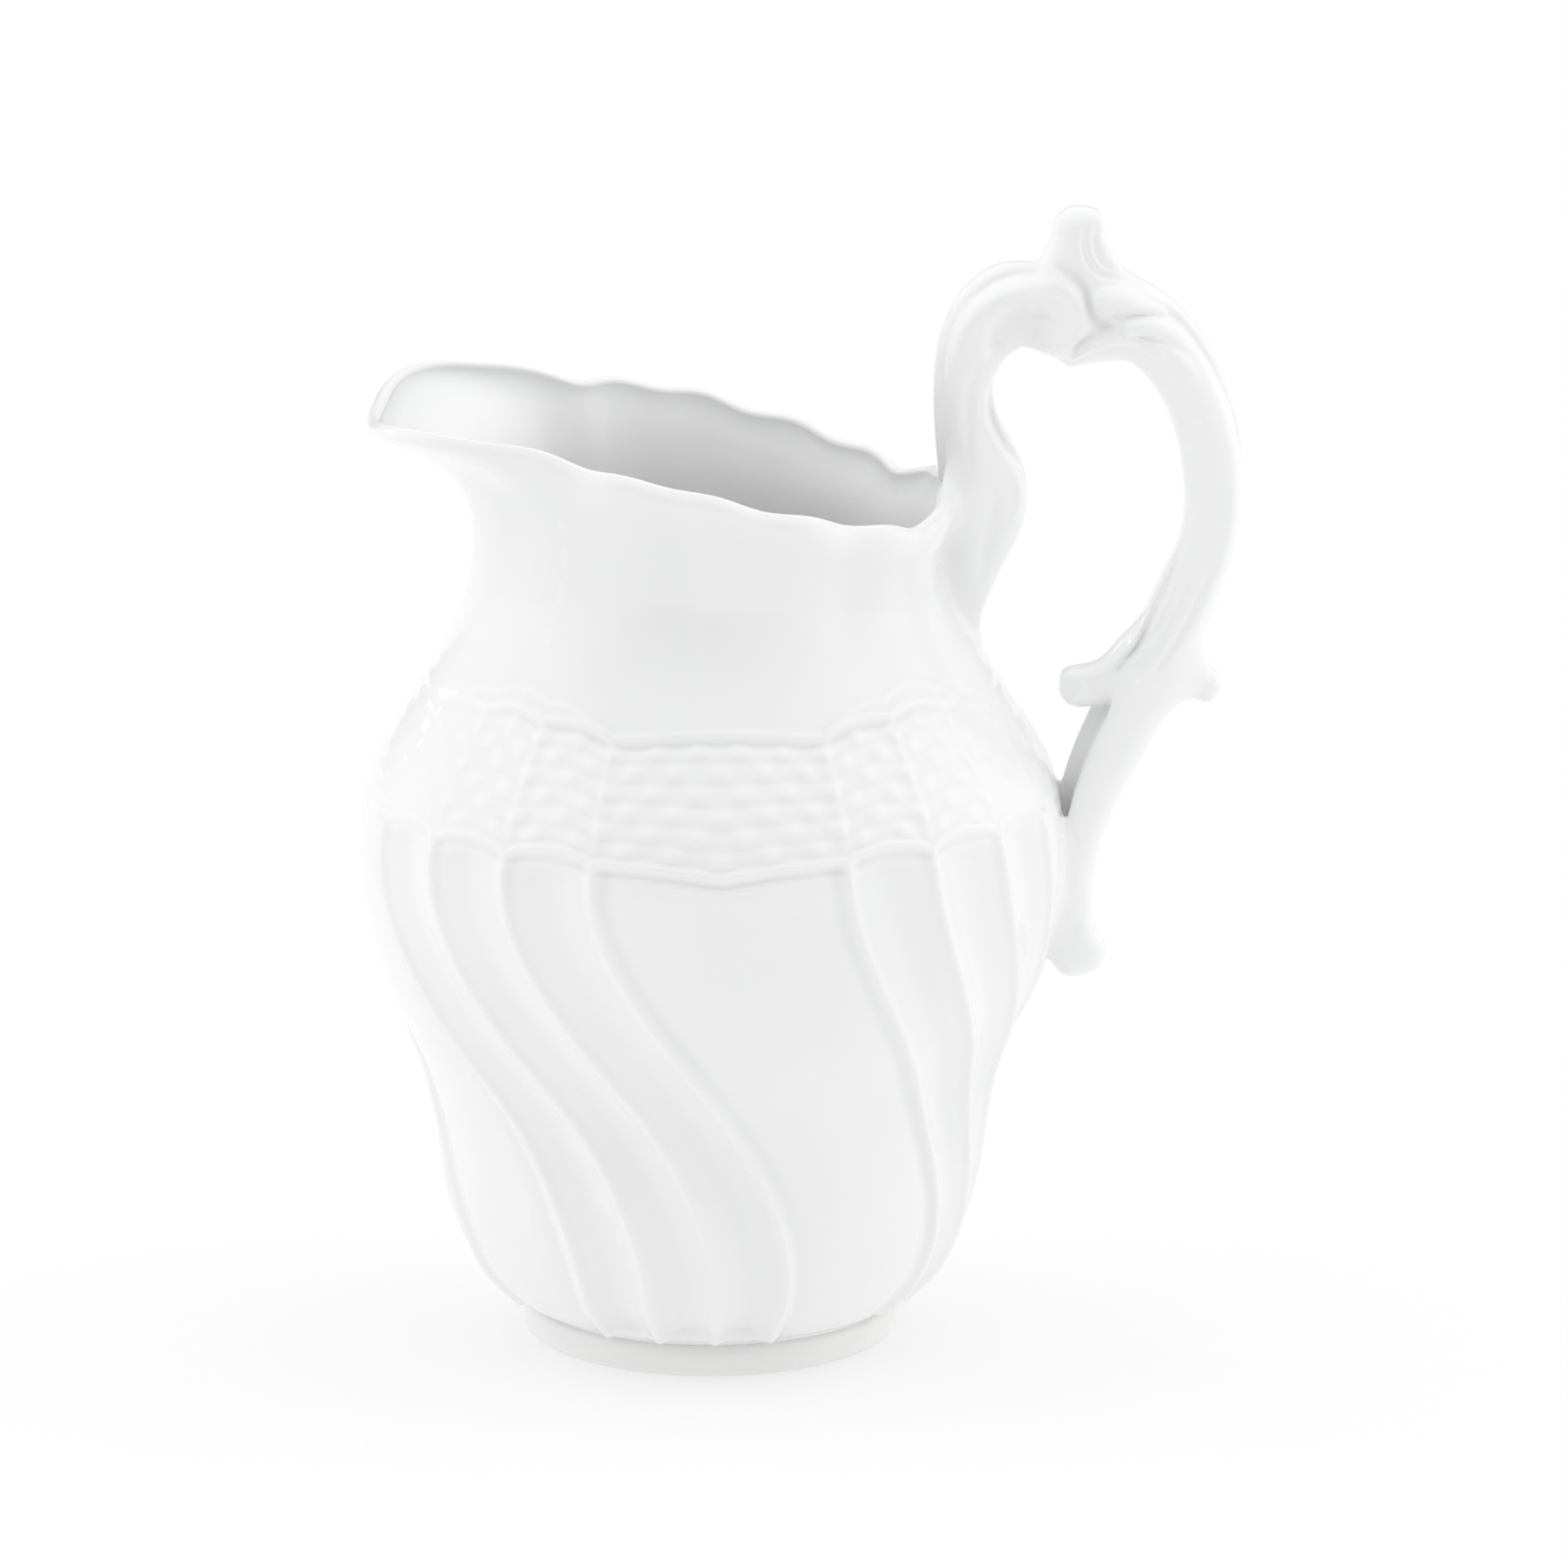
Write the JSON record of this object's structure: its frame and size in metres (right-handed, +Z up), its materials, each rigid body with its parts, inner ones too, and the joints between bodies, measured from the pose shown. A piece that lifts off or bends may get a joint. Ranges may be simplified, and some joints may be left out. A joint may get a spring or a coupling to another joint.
{
  "type": "ceramic pitcher",
  "caption": "Footed white porcelain milk jug with a baluster body, raked rim, broad open spout, relief basket-weave band, swirled fluting and a high scroll handle.",
  "frame": {"origin": "on the standing surface, under the middle of the jug's footprint box", "axes": "+Z up, -X towards the spout, +X towards the handle"},
  "size_m": [0.1076, 0.0856, 0.1391],
  "materials": {
    "glazed_porcelain": "clear gloss glaze over white porcelain",
    "foot_porcelain": "gloss glaze with a bare ground standing edge",
    "luting_slip": "fired slip under the same clear glaze"
  },
  "bodies": {
    "root": {"body": "glazed_porcelain", "foot_ring": "foot_porcelain", "foot_slip": "luting_slip", "handle": "glazed_porcelain", "upper_handle_slip": "luting_slip", "lower_handle_slip": "luting_slip"}
  },
  "joints": []
}
